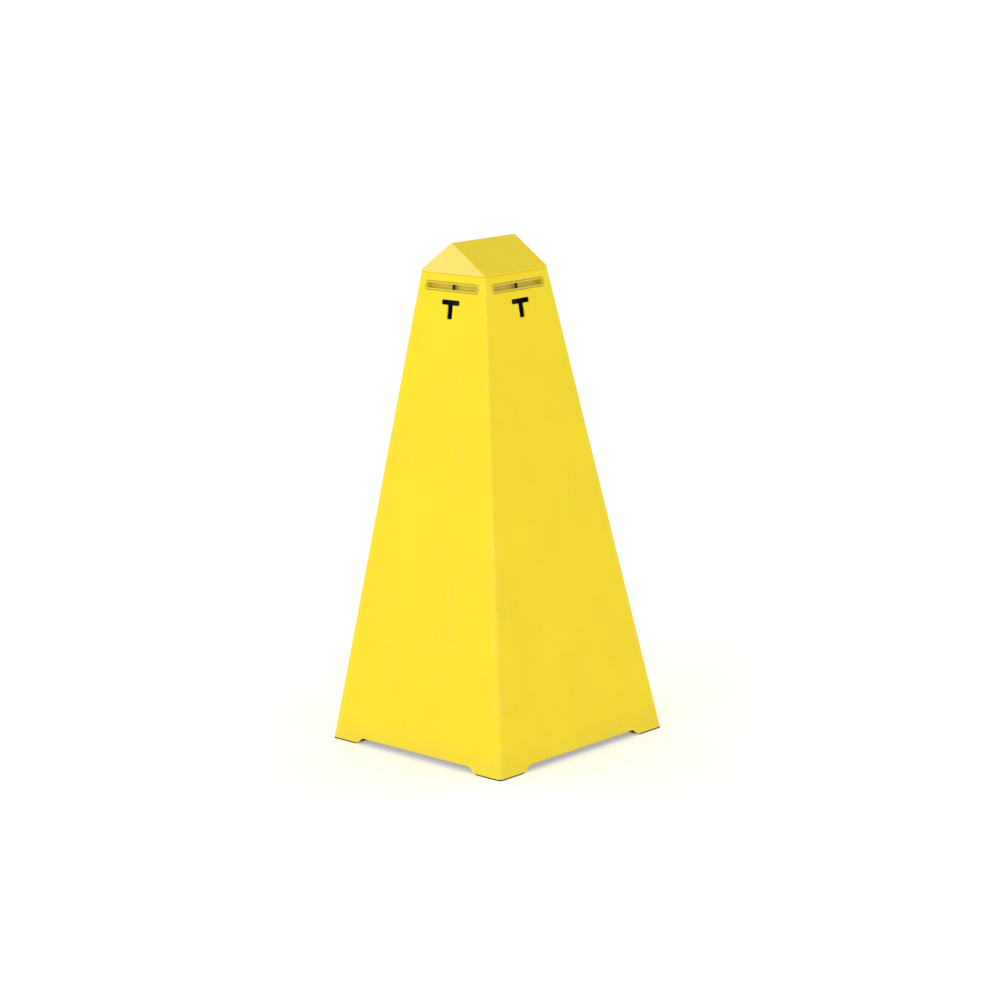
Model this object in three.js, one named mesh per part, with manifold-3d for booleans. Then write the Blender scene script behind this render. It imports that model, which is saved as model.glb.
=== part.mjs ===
// Four-sided chain stanchion: a tall hollow pyramid of moulded polyethylene that stands on four
// corner feet. A gable-roofed cap plugs its square mouth. Under the eave each wall has a long
// pocket with an upright hitch pin, and below that a T-slot that takes a link of plastic barrier
// chain, with a black box behind it where the link hangs. A rubber ballast ring is bolted down
// inside, over rubber corner pads.
//
// Millimetres, +Z up. The origin is on the floor, under the ridge. The ridge runs along X, so the
// two gables face -X and +X and the two roof slopes face -Y and +Y.
import * as THREE from "three";
import { mergeVertices } from "three/addons/utils/BufferGeometryUtils.js";
import Module from "manifold-3d";

// ---------------------------------------------------------------- driving dimensions
const TOUCH = 0.3; // gap kept between faces that touch
const CUT = 5; // how far a cutter runs past what it cuts

const HEIGHT = 914; // floor to ridge
const BASE = 430; // outside width at the floor
const EAVE = 160; // outside width at the eave
const ROOF_RISE = 56; // eave to ridge
const WALL = 3; // thickness of the shell's walls
const BASE_CORNER_R = 9; // outside corner radius at the floor, shrinking with the taper

const SOLE = 2; // what the rubber pads lift the shell off the floor
const FOOT_REACH = 62; // length of each foot along the wall, from the corner
const ARCH_RISE = 10; // rise of the wall's edge between two feet
const ARCH_RUN = 20; // length of the curve from foot to raised edge
const WEB = 3; // thickness of the seat across each foot

const POCKET_MARGIN = 18.4; // each end of the rim to the wall's edge
const POCKET_HEIGHT = 9.5; // mouth of the pocket
const POCKET_CORNER_R = 2.2; // corners of the mouth
const POCKET_DEPTH = 12; // from the wall's outside face
const RIM = 2.6; // width of the rim round the pocket's mouth
const RIM_GAP = 1.2; // shadow gap between rim and wall
const FLANGE = 4; // what the flange behind the wall overlaps it by
const FLANGE_THICK = 2.3;
const POCKET_BACK = 2; // thickness of the pocket's floor
const PIN_D = 5; // hitch pin
const PIN_GAP = 0.5; // wall's inside face to the pin, which runs down behind it
const PIN_BITE = 1.8; // depth of the pin's blind seat under the pocket

const T_GAP = 10.3; // flange of the pocket to the T-slot below it
const T_WIDTH = 44; // takes a link 30 wide and 8 thick, flat
const T_BAR = 9; // height of the crossbar
const T_HEIGHT = 34; // whole height of the slot
const T_STEM = 12.5; // width of the stem, where the next link hangs on edge
const T_FILLET = 1.5; // where the stem leaves the bar
const T_CORNER_R = 2.6; // ends of the bar and foot of the stem

const BOX_MARGIN = 2.5; // hollow of the link box past the bar of the slot
const BOX_HANG = 24; // hollow below the stem, where the link hangs
const BOX_DEPTH = 16; // hollow behind the wall
const BOX_WALL = 2;
const BOX_FLANGE = 4.5; // welded to the wall's inside
const BOX_CORNER_R = 4; // corners of the hollow

const EAVE_BAND = 2; // upright edge of the roof under its slopes
const RIDGE_R = 3;
const CAP_WALL = 3;
const SKIRT_DEPTH = 7.5; // rim of the cap inside the mouth
const SKIRT_WALL = 2.5;
const SKIRT_GAP = 0.5; // skirt to the mouth of the shell
const SKIRT_CLEARANCE = 2; // skirt to the flange of the pocket below it
const LEG_DEPTH = 40; // guide legs at the cap's corners
const LEG_WALL = 3;
const LEG_CLEARANCE = 1.2; // leg to the end of a pocket

const RING_HEIGHT = 24; // ballast ring
const RING_WIDTH = 40;
const RING_GAP = 1; // ring to the wall
const RING_CORNER_R = 14; // inside corners of the ring

const BOLT_D = 6; // one bolt in each foot, in the middle of the ring's width
const BOLT_CLEARANCE = 0.3; // all round the bolt, in every hole
const HEAD_D = 12;
const HEAD_HEIGHT = 3.6;
const HEAD_CLEARANCE = 1; // all round the head, in its recess in the pad
const HEAD_SINK = 2.1; // crown of the head above the floor
const WASHER_D = 18;
const WASHER_THICK = 1.6;
const NUT_FLATS = 10;
const NUT_HEIGHT = 5;
const BOLT_END = 2; // what the bolt stands out of the nut

// ---------------------------------------------------------------- derived sizes and places
const EAVE_Z = HEIGHT - ROOF_RISE;
const TAPER = (BASE - EAVE) / 2 / EAVE_Z; // run of the wall for each mm of height
const LEAN = Math.atan(TAPER); // angle of the wall from upright
const CORNER_RATIO = BASE_CORNER_R / (BASE / 2);
const halfAt = (z, inset = 0) => BASE / 2 - z * TAPER - inset / Math.cos(LEAN);

const MOUTH = halfAt(EAVE_Z, WALL); // half width of the mouth
const ARCH_Z = SOLE + ARCH_RISE;
const SEAT_Z = ARCH_Z + WEB; // top of the seats, where the ring lies
const RING_Z = SEAT_Z + TOUCH;
const BOLT_AT = halfAt(SEAT_Z, WALL) - RING_GAP - RING_WIDTH / 2;
const BOLT_HOLE = BOLT_D + 2 * BOLT_CLEARANCE;
const FOOT_INSIDE = BASE / 2 - FOOT_REACH; // where a foot ends, from the middle plane

const RIM_HEIGHT = POCKET_HEIGHT + 2 * RIM;
const APERTURE_HEIGHT = RIM_HEIGHT + 2 * RIM_GAP; // the hole in the wall round the rim
const POCKET_DROP = SKIRT_DEPTH + SKIRT_CLEARANCE + FLANGE + APERTURE_HEIGHT / 2; // down the wall
const RIM_LENGTH = 2 * (EAVE / 2 + POCKET_DROP * Math.sin(LEAN) - POCKET_MARGIN);
const PIN_DEPTH = WALL + PIN_GAP + PIN_D / 2; // from the wall's outside face to the pin's axis
const T_DROP = POCKET_DROP + APERTURE_HEIGHT / 2 + FLANGE + T_GAP; // to the top of the T-slot

// ---------------------------------------------------------------- materials
const plastic = (color, roughness) => new THREE.MeshStandardMaterial({ color, roughness, metalness: 0 });
const metal = (color, roughness) => new THREE.MeshStandardMaterial({ color, roughness, metalness: 1 });
const yellowShell = plastic(0xffe021, 0.45);
const yellowInsert = plastic(0xf7d71f, 0.4);
const blackBox = plastic(0x1b1a19, 0.55);
const blackRubber = plastic(0x1c1c1b, 0.85);
const ballastRubber = plastic(0x262523, 0.95);
const darkPin = metal(0x3a3a38, 0.45);
const zincSteel = metal(0xb9bcc0, 0.35);

// ---------------------------------------------------------------- solids
const wasm = await Module();
wasm.setup();

// The closed mesh of a geometry as a solid that can be cut and joined.
function solid(geometry) {
  const bare = geometry.clone();
  bare.deleteAttribute("normal");
  bare.deleteAttribute("uv");
  const merged = mergeVertices(bare, 1e-4);
  return new wasm.Manifold(
    new wasm.Mesh({
      numProp: 3,
      vertProperties: merged.attributes.position.array,
      triVerts: new Uint32Array(merged.index.array),
    }),
  );
}

// A named mesh of a finished solid.
function piece(name, made, material) {
  const { numProp, numVert, vertProperties, triVerts } = made.getMesh();
  const position = new Float32Array(numVert * 3);
  for (let i = 0; i < numVert; i++) {
    position.set(vertProperties.subarray(i * numProp, i * numProp + 3), i * 3);
  }
  const geometry = new THREE.BufferGeometry();
  geometry.setAttribute("position", new THREE.BufferAttribute(position, 3));
  geometry.setIndex(new THREE.BufferAttribute(triVerts, 1));
  geometry.computeVertexNormals();
  const mesh = new THREE.Mesh(geometry, material);
  mesh.name = name;
  return mesh;
}

const union = (solids) => solids.reduce((all, next) => all.add(next));

// A shape drawn in XY, extruded from z = low to z = high.
function slab(shape, low, high, curveSegments = 6) {
  const geometry = new THREE.ExtrudeGeometry(shape, {
    depth: high - low,
    bevelEnabled: false,
    curveSegments,
  });
  return solid(geometry.translate(0, 0, low));
}

function box(low, high) {
  const size = high.map((value, i) => value - low[i]);
  const middle = high.map((value, i) => (value + low[i]) / 2);
  return solid(new THREE.BoxGeometry(...size).translate(...middle));
}

// An upright round bar on the axis x, y.
function bar(x, y, diameter, low, high, segments = 20) {
  const geometry = new THREE.CylinderGeometry(diameter / 2, diameter / 2, high - low, segments);
  return solid(geometry.rotateX(Math.PI / 2).translate(x, y, (low + high) / 2));
}

// A rectangle with round corners and its middle at the origin.
function oblong(length, height, radius) {
  const x = length / 2 - radius;
  const y = height / 2 - radius;
  const shape = new THREE.Shape();
  shape.moveTo(-x, -height / 2);
  shape.lineTo(x, -height / 2);
  shape.absarc(x, -y, radius, -Math.PI / 2, 0, false);
  shape.absarc(x, y, radius, 0, Math.PI / 2, false);
  shape.absarc(-x, y, radius, Math.PI / 2, Math.PI, false);
  shape.absarc(-x, -y, radius, Math.PI, 1.5 * Math.PI, false);
  return shape;
}

const roundedSquare = (half, radius) => oblong(2 * half, 2 * half, radius);

// The pocket's mouth, let out all round by grow.
function mouthOutline(grow) {
  const length = RIM_LENGTH - 2 * RIM;
  return oblong(length + 2 * grow, POCKET_HEIGHT + 2 * grow, POCKET_CORNER_R + grow);
}

// The shell's outside surface moved in by inset, between two heights. Its corner radius shrinks
// with its width, so every face is flat and all edges run to one apex.
function pyramid(low, high, inset = 0) {
  const depth = high - low;
  const wide = halfAt(low, inset);
  const shrink = halfAt(high, inset) / wide - 1;
  const shape = roundedSquare(wide, wide * CORNER_RATIO);
  const geometry = new THREE.ExtrudeGeometry(shape, { depth, bevelEnabled: false, curveSegments: 3 });
  const position = geometry.getAttribute("position");
  for (let i = 0; i < position.count; i++) {
    const scale = 1 + (shrink * position.getZ(i)) / depth;
    position.setX(i, position.getX(i) * scale);
    position.setY(i, position.getY(i) * scale);
  }
  return solid(geometry.translate(0, 0, low));
}

// The four walls: a name for each, and the turn that carries the -Y wall to it.
const WALLS = ["front", "right", "rear", "left"].map((name, i) => ({ name, turn: (i * Math.PI) / 2 }));

// A group whose X runs along a wall, Y up its slope and Z straight out of it, with its origin at
// the middle of the wall's outside edge at the eave.
function wallFrame(turn) {
  const frame = new THREE.Group();
  frame.position.set(0, -EAVE / 2, EAVE_Z);
  frame.rotation.x = Math.PI / 2 - LEAN;
  const side = new THREE.Group();
  side.rotation.z = turn;
  side.add(frame);
  side.updateMatrixWorld(true);
  return { side, frame };
}

// A solid made in a wall's own frame, carried into the part's frame.
const onWall = (made, turn) => made.transform([...wallFrame(turn).frame.matrixWorld.elements]);

// The four feet: a name for each, and the signs of its X and Y.
const FEET = [
  { name: "front_left", x: -1, y: -1 },
  { name: "front_right", x: 1, y: -1 },
  { name: "rear_right", x: 1, y: 1 },
  { name: "rear_left", x: -1, y: 1 },
];

// Everything outside the middle planes by more than inside, in one foot's corner.
function footCorner(foot, inside, low, high) {
  const spanX = [foot.x * inside, foot.x * BASE].sort((a, b) => a - b);
  const spanY = [foot.y * inside, foot.y * BASE].sort((a, b) => a - b);
  return box([spanX[0], spanY[0], low], [spanX[1], spanY[1], high]);
}

// ---------------------------------------------------------------- shell
// The room under one pair of walls between their feet, drawn across the stanchion.
function archCutter(turn) {
  const end = FOOT_INSIDE;
  const shape = new THREE.Shape();
  shape.moveTo(-end, -CUT);
  shape.lineTo(end, -CUT);
  shape.lineTo(end, SOLE);
  shape.bezierCurveTo(end - ARCH_RUN / 2, SOLE, end - ARCH_RUN / 2, ARCH_Z, end - ARCH_RUN, ARCH_Z);
  shape.lineTo(ARCH_RUN - end, ARCH_Z);
  shape.bezierCurveTo(ARCH_RUN / 2 - end, ARCH_Z, ARCH_RUN / 2 - end, SOLE, -end, SOLE);
  return slab(shape, -BASE, BASE).rotate([90, 0, (turn * 180) / Math.PI]);
}

function tSlot() {
  const r = T_CORNER_R;
  const end = T_WIDTH / 2 - r;
  const barLow = -T_DROP - T_BAR;
  const stem = T_STEM / 2;
  const stemLow = -T_DROP - T_HEIGHT;
  const shape = new THREE.Shape();
  shape.moveTo(end, -T_DROP);
  shape.lineTo(-end, -T_DROP);
  shape.absarc(-end, -T_DROP - r, r, Math.PI / 2, Math.PI, false);
  shape.absarc(-end, barLow + r, r, Math.PI, 1.5 * Math.PI, false);
  shape.absarc(-stem - T_FILLET, barLow - T_FILLET, T_FILLET, Math.PI / 2, 0, true);
  shape.absarc(r - stem, stemLow + r, r, Math.PI, 1.5 * Math.PI, false);
  shape.absarc(stem - r, stemLow + r, r, -Math.PI / 2, 0, false);
  shape.absarc(stem + T_FILLET, barLow - T_FILLET, T_FILLET, Math.PI, Math.PI / 2, true);
  shape.absarc(end, barLow + r, r, -Math.PI / 2, 0, false);
  shape.absarc(end, -T_DROP - r, r, 0, Math.PI / 2, false);
  return slab(shape, -WALL - CUT, CUT, 3);
}

function aperture() {
  const hole = slab(mouthOutline(RIM + RIM_GAP), -WALL - CUT, CUT, 3);
  return hole.translate(0, -POCKET_DROP, 0);
}

function shell() {
  const walls = pyramid(SOLE, EAVE_Z).subtract(pyramid(SOLE - CUT, EAVE_Z + CUT, WALL));
  const seats = union(FEET.map((foot) => footCorner(foot, FOOT_INSIDE, ARCH_Z, SEAT_Z)));
  const seated = walls.add(seats.intersect(pyramid(SOLE, SEAT_Z + CUT, WALL / 2)));
  const boltHoles = FEET.map(({ x, y }) => {
    return bar(x * BOLT_AT, y * BOLT_AT, BOLT_HOLE, ARCH_Z - CUT, SEAT_Z + CUT);
  });
  const wallCuts = WALLS.map(({ turn }) => onWall(tSlot().add(aperture()), turn));
  const cuts = union([archCutter(0), archCutter(Math.PI / 2), ...boltHoles, ...wallCuts]);
  return piece("shell", seated.subtract(cuts), yellowShell);
}

// ---------------------------------------------------------------- pocket inserts, hitch pins and link boxes
const RIM_BACK = -POCKET_DEPTH - POCKET_BACK;
const PIN_LOW = -POCKET_HEIGHT / 2 - PIN_BITE + TOUCH;
const PIN_HIGH = APERTURE_HEIGHT / 2 + FLANGE - TOUCH; // flush with the top of the flange

// The insert and the pin are made in the wall's frame, round the middle of the pocket.
function pocketInsert(name) {
  const body = slab(mouthOutline(RIM), RIM_BACK, 0, 3);
  const behind = mouthOutline(RIM + RIM_GAP + FLANGE);
  const flange = slab(behind, -WALL - TOUCH - FLANGE_THICK, -WALL - TOUCH, 4);
  const pocket = slab(mouthOutline(0), -POCKET_DEPTH, CUT, 3);
  const pinHole = pinBar(PIN_D + 2 * TOUCH, PIN_LOW - TOUCH, PIN_HIGH + CUT);
  return piece(`${name}_pocket_insert`, body.add(flange).subtract(pocket).subtract(pinHole), yellowInsert);
}

function pinBar(diameter, low, high) {
  const round = new THREE.CylinderGeometry(diameter / 2, diameter / 2, high - low, 20);
  return solid(round.translate(0, (low + high) / 2, -PIN_DEPTH));
}

// The box behind the slot, open to the wall: a hollow with a wall round it and a flange at its mouth.
function linkBox(name) {
  const top = BOX_MARGIN - T_DROP;
  const height = BOX_MARGIN + T_HEIGHT + BOX_HANG;
  const outline = (grow) => oblong(T_WIDTH + 2 * (BOX_MARGIN + grow), height + 2 * grow, BOX_CORNER_R + grow);
  const mouth = -WALL - TOUCH;
  const hollow = slab(outline(0), mouth - BOX_DEPTH, CUT, 3);
  const body = slab(outline(BOX_WALL), mouth - BOX_DEPTH - BOX_WALL, mouth, 3);
  const flange = slab(outline(BOX_WALL + BOX_FLANGE), mouth - BOX_WALL, mouth, 3);
  const made = body.add(flange).subtract(hollow).translate(0, top - height / 2, 0);
  return piece(`${name}_link_box`, made, blackBox);
}

const hitchPin = (name) => piece(`${name}_hitch_pin`, pinBar(PIN_D, PIN_LOW, PIN_HIGH), darkPin);

function wallFittings({ name, turn }) {
  const { side, frame } = wallFrame(turn);
  for (const fitting of [pocketInsert(name), hitchPin(name)]) {
    fitting.position.y = -POCKET_DROP;
    frame.add(fitting);
  }
  frame.add(linkBox(name));
  return side;
}

// ---------------------------------------------------------------- roof cap
// Everything under a gable roof whose slopes are moved straight down by drop, over the whole plan.
function gable(drop) {
  const eave = EAVE / 2;
  const low = EAVE_Z - LEG_DEPTH - 2 * CUT;
  const bandTop = EAVE_Z + TOUCH + EAVE_BAND - drop;
  const slope = Math.atan((HEIGHT - EAVE_Z - TOUCH - EAVE_BAND) / eave);
  const ridgeCentre = HEIGHT - drop - RIDGE_R;
  // The slopes are tangent to the ridge's arc, so they meet the band a little above bandTop.
  const tangent = { y: RIDGE_R * Math.sin(slope), z: ridgeCentre + RIDGE_R * Math.cos(slope) };
  const shape = new THREE.Shape();
  shape.moveTo(-eave - CUT, low);
  shape.lineTo(eave + CUT, low);
  shape.lineTo(eave + CUT, bandTop - CUT * Math.tan(slope));
  shape.lineTo(tangent.y, tangent.z);
  shape.absarc(0, ridgeCentre, RIDGE_R, Math.PI / 2 - slope, Math.PI / 2 + slope, false);
  shape.lineTo(-eave - CUT, bandTop - CUT * Math.tan(slope));
  return slab(shape, -EAVE, EAVE, 4).rotate([90, 0, 90]);
}

function roofCap() {
  const low = EAVE_Z + TOUCH;
  const legLow = low - LEG_DEPTH;
  const column = (half, radius, from, to) => slab(roundedSquare(half, radius), from, to, 3);
  const roofR = (EAVE / 2) * CORNER_RATIO;
  const roof = column(EAVE / 2, roofR, low, HEIGHT + CUT).intersect(gable(0));

  const skirtHalf = MOUTH - SKIRT_GAP;
  const skirtR = MOUTH * CORNER_RATIO - SKIRT_GAP;
  const skirt = column(skirtHalf, skirtR, low - SKIRT_DEPTH, low + EAVE_BAND / 2);
  const hollow = column(skirtHalf - SKIRT_WALL, skirtR / 2, legLow, HEIGHT);
  const roofDrop = CAP_WALL / Math.cos(Math.atan((2 * ROOF_RISE) / EAVE));
  const casing = roof.add(skirt).subtract(hollow.intersect(gable(roofDrop)));

  // A leg stands in each corner behind the flanges of two pockets, and runs up to the roof.
  const legHalf = MOUTH - FLANGE_THICK;
  const corners = FEET.map((foot) => footCorner(foot, RIM_LENGTH / 2 + LEG_CLEARANCE, legLow, HEIGHT));
  const legs = column(legHalf, skirtR, legLow, HEIGHT).intersect(union(corners));
  const insideLegs = column(legHalf - LEG_WALL, skirtR / 2, legLow - CUT, HEIGHT);
  return piece("roof_cap", casing.add(legs.subtract(insideLegs).intersect(gable(roofDrop / 2))), yellowShell);
}

// ---------------------------------------------------------------- feet, ballast and fasteners
const HEAD_Z = HEAD_SINK + HEAD_HEIGHT; // the shoulder under the bolt's domed head

// A rubber block under the seat, with a sole that runs out under the bottom of the walls.
function footPad(foot) {
  const sole = footCorner(foot, FOOT_INSIDE, 0, SOLE - TOUCH).intersect(pyramid(0, SOLE));
  const block = footCorner(foot, FOOT_INSIDE, 0, ARCH_Z - TOUCH);
  const fitted = block.intersect(pyramid(0, ARCH_Z + CUT, WALL + TOUCH));
  const [x, y] = [foot.x * BOLT_AT, foot.y * BOLT_AT];
  const recess = bar(x, y, HEAD_D + 2 * HEAD_CLEARANCE, -CUT, HEAD_Z + TOUCH);
  const hole = bar(x, y, BOLT_HOLE, -CUT, ARCH_Z + CUT);
  return piece(`${foot.name}_foot_pad`, sole.add(fitted).subtract(recess.add(hole)), blackRubber);
}

function ballastRing() {
  const top = RING_Z + RING_HEIGHT;
  const outside = pyramid(RING_Z, top, WALL + RING_GAP);
  const innerHalf = halfAt(RING_Z, WALL + RING_GAP) - RING_WIDTH;
  const inside = slab(roundedSquare(innerHalf, RING_CORNER_R), RING_Z - CUT, top + CUT, 4);
  const holes = FEET.map(({ x, y }) => bar(x * BOLT_AT, y * BOLT_AT, BOLT_HOLE, RING_Z - CUT, top + CUT));
  return piece("ballast_ring", outside.subtract(inside).subtract(union(holes)), ballastRubber);
}

const WASHER_Z = RING_Z + RING_HEIGHT + TOUCH;
const NUT_Z = WASHER_Z + WASHER_THICK + TOUCH;

// A domed bolt, pushed up from below.
function footBolt(foot) {
  const profile = new THREE.Path();
  profile.moveTo(0, HEAD_Z - HEAD_HEIGHT);
  profile.quadraticCurveTo(HEAD_D / 2, HEAD_Z - HEAD_HEIGHT, HEAD_D / 2, HEAD_Z);
  profile.lineTo(BOLT_D / 2, HEAD_Z);
  profile.lineTo(BOLT_D / 2, NUT_Z + NUT_HEIGHT + BOLT_END);
  profile.lineTo(0, NUT_Z + NUT_HEIGHT + BOLT_END);
  const turned = new THREE.LatheGeometry(profile.getPoints(4), 20);
  return piece(`${foot.name}_foot_bolt`, solid(turned.rotateX(Math.PI / 2)), zincSteel);
}

function footWasher(foot) {
  const disc = bar(0, 0, WASHER_D, WASHER_Z, WASHER_Z + WASHER_THICK);
  const hole = bar(0, 0, BOLT_HOLE, WASHER_Z - CUT, WASHER_Z + CUT);
  return piece(`${foot.name}_foot_washer`, disc.subtract(hole), zincSteel);
}

function footNut(foot) {
  const hexagon = bar(0, 0, NUT_FLATS / Math.cos(Math.PI / 6), NUT_Z, NUT_Z + NUT_HEIGHT, 6);
  const hole = bar(0, 0, BOLT_HOLE, NUT_Z - CUT, NUT_Z + NUT_HEIGHT + CUT);
  return piece(`${foot.name}_foot_nut`, hexagon.subtract(hole), zincSteel);
}

function footFasteners(foot) {
  const group = new THREE.Group();
  group.position.set(foot.x * BOLT_AT, foot.y * BOLT_AT, 0);
  group.add(footBolt(foot), footWasher(foot), footNut(foot));
  return group;
}

// ---------------------------------------------------------------- assembly
const stanchion = new THREE.Group();
stanchion.add(shell(), roofCap(), ballastRing());
stanchion.add(...WALLS.map(wallFittings));
stanchion.add(...FEET.map(footPad), ...FEET.map(footFasteners));

export default stanchion;
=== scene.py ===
"""A four-sided chain stanchion: the finished look of each piece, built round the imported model.

Lengths are in metres. Z is up, the roof's ridge runs along X, and the front wall faces -Y. What
repeats on the four walls or in the four feet is built once, facing the front or in the front left
foot, and turned about Z in quarter turns.
"""
import math

import bmesh
import bpy
from mathutils import Matrix, Vector


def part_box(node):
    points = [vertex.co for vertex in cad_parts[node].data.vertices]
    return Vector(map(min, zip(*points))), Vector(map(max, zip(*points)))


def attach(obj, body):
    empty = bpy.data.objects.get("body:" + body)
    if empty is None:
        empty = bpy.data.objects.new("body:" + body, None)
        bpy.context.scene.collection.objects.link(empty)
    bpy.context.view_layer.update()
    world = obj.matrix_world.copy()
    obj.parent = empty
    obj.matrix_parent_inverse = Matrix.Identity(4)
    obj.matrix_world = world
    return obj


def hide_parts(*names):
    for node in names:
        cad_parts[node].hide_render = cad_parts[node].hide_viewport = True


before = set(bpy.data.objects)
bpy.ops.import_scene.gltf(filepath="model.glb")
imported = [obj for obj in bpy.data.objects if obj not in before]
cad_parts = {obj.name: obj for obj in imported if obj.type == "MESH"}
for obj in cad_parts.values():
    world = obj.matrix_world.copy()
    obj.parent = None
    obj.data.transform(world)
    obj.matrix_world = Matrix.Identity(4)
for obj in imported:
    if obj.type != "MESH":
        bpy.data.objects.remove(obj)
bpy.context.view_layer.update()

MM = 0.001

# ---------------------------------------------------------------- sizes taken from the frame
shell_low, shell_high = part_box("shell")
cap_low, cap_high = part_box("roof_cap")
ring_low, ring_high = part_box("ballast_ring")
pad_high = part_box("front_left_foot_pad")[1]
bolt_low, bolt_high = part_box("front_left_foot_bolt")
washer_low, washer_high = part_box("front_left_foot_washer")
nut_low, nut_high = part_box("front_left_foot_nut")

SOLE_Z = shell_low.z  # bottom of the walls, on the pads' soles
EAVE_Z = shell_high.z  # top of the walls
RIDGE_Z = cap_high.z
EAVE_HALF = cap_high.x
TAPER = (shell_high.x - EAVE_HALF) / (EAVE_Z - SOLE_Z)
LEAN = math.atan(TAPER)
FOOT_INSIDE = -pad_high.x  # where a foot ends, from the middle plane
BOLT_AT = -(bolt_low.x + bolt_high.x) / 2  # each bolt, from both middle planes
AT_BOLT = Matrix.Translation((-BOLT_AT, -BOLT_AT, 0))  # the bolt in the front left foot

# ---------------------------------------------------------------- sizes of the design
TOUCH = 0.3 * MM  # gap kept between faces that touch
WALL = 3 * MM
BASE_CORNER_R = 9 * MM  # outside corner radius at the floor, shrinking with the taper
ARCH_RISE = 10 * MM  # rise of the wall's edge between two feet
ARCH_RUN = 20 * MM  # length of the curve from foot to raised edge
WEB = 3 * MM  # thickness of the seat across each foot
EDGE_SOFT = 0.8 * MM  # rounding of the shell's moulded edges

RIM = 2.6 * MM  # width of the rim round the pocket's mouth
RIM_GAP = 1.2 * MM  # shadow gap between rim and wall
POCKET_HEIGHT = 9.5 * MM  # mouth of the pocket
POCKET_CORNER_R = 2.2 * MM
POCKET_DEPTH = 12 * MM
POCKET_BACK = 2 * MM  # thickness of the pocket's floor
POCKET_MARGIN = 18.4 * MM  # each end of the rim to the wall's edge
FLANGE = 4 * MM  # what the flange behind the wall overlaps it by
FLANGE_THICK = 2.3 * MM
PIN_D = 5 * MM  # hitch pin
PIN_GAP = 0.5 * MM  # wall's inside face to the pin
PIN_BITE = 1.8 * MM  # depth of the pin's blind seat under the pocket

T_GAP = 10.3 * MM  # flange of the pocket to the T-slot below it
T_WIDTH = 44 * MM
T_BAR = 9 * MM  # height of the crossbar
T_HEIGHT = 34 * MM
T_STEM = 12.5 * MM  # width of the stem
T_FILLET = 1.5 * MM  # where the stem leaves the bar
T_CORNER_R = 2.6 * MM  # ends of the bar and foot of the stem

BOX_MARGIN = 2.5 * MM  # hollow of the link box past the bar of the slot
BOX_HANG = 24 * MM  # hollow below the stem
BOX_DEPTH = 16 * MM
BOX_WALL = 2 * MM
BOX_FLANGE = 4.5 * MM
BOX_CORNER_R = 4 * MM

EAVE_BAND = 2 * MM  # upright edge of the roof under its slopes
RIDGE_R = 3 * MM
CAP_WALL = 3 * MM
SKIRT_DEPTH = 7.5 * MM  # rim of the cap inside the mouth
SKIRT_WALL = 2.5 * MM
SKIRT_GAP = 0.5 * MM
SKIRT_CLEARANCE = 2 * MM  # skirt to the flange of the pocket below it
LEG_WALL = 3 * MM
LEG_CLEARANCE = 1.2 * MM  # leg to the end of a pocket

RING_GAP = 1 * MM  # ballast ring to the wall
RING_WIDTH = 40 * MM
RING_CORNER_R = 14 * MM  # inside corners
BOLT_D = 6 * MM
BOLT_HOLE = 6.6 * MM
HEAD_HEIGHT = 3.6 * MM
HEAD_CLEARANCE = 1 * MM  # all round the head, in its recess in the pad


def half_width(z, depth=0.0):
    """Half the stanchion's width at a height, on a surface that lies depth inside the outer one."""
    return EAVE_HALF + TAPER * (EAVE_Z - z) - depth / math.cos(LEAN)


CORNER_SHARE = BASE_CORNER_R / half_width(0)  # a corner's radius as a share of the half width
MOUTH = half_width(EAVE_Z, WALL)
ARCH_Z = SOLE_Z + ARCH_RISE
SEAT_Z = ARCH_Z + WEB
RIM_HEIGHT = POCKET_HEIGHT + 2 * RIM
APERTURE_HEIGHT = RIM_HEIGHT + 2 * RIM_GAP
POCKET_DROP = SKIRT_DEPTH + SKIRT_CLEARANCE + FLANGE + APERTURE_HEIGHT / 2
RIM_LENGTH = 2 * (EAVE_HALF + POCKET_DROP * math.sin(LEAN) - POCKET_MARGIN)
T_DROP = POCKET_DROP + APERTURE_HEIGHT / 2 + FLANGE + T_GAP
PIN_DEPTH = WALL + PIN_GAP + PIN_D / 2  # the pin's axis behind the wall's outside face
CAP_LOW = EAVE_Z + TOUCH  # underside of the roof's edge
ROOF_SLOPE = math.atan((RIDGE_Z - CAP_LOW - EAVE_BAND) / EAVE_HALF)


# ---------------------------------------------------------------- outlines
def arc(x, y, radius, start, end, steps):
    """Points on a round stretch, from one angle in degrees to another."""
    angles = [math.radians(start + (end - start) * i / steps) for i in range(steps + 1)]
    return [(x + radius * math.cos(a), y + radius * math.sin(a)) for a in angles]


def circle(x, y, radius, steps=48):
    return arc(x, y, radius, 0, 360 - 360 / steps, steps - 1)


def softened(corners, closed=False, steps=4):
    """A path through corners of (a, b, radius), with each corner rounded to its radius."""
    path = []
    count = len(corners)
    for i, (a, b, radius) in enumerate(corners):
        here = Vector((a, b))
        if radius == 0 or (not closed and i in (0, count - 1)):
            path.append(here)
            continue
        before = (Vector(corners[i - 1][:2]) - here).normalized()
        after = (Vector(corners[(i + 1) % count][:2]) - here).normalized()
        opening = before.angle(after)
        reach = radius / math.tan(opening / 2)
        centre = here + (before + after).normalized() * (radius / math.sin(opening / 2))
        start = here + before * reach - centre
        sweep = start.angle_signed(here + after * reach - centre)
        for step in range(steps + 1):
            turned = start.copy()
            turned.rotate(Matrix.Rotation(-sweep * step / steps, 2))
            path.append(centre + turned)
    same = 1e-4 * MM  # points nearer than this are one point
    spread = [p for i, p in enumerate(path) if i == 0 or (p - path[i - 1]).length > same]
    return [(p.x, p.y) for p in spread]


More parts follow.
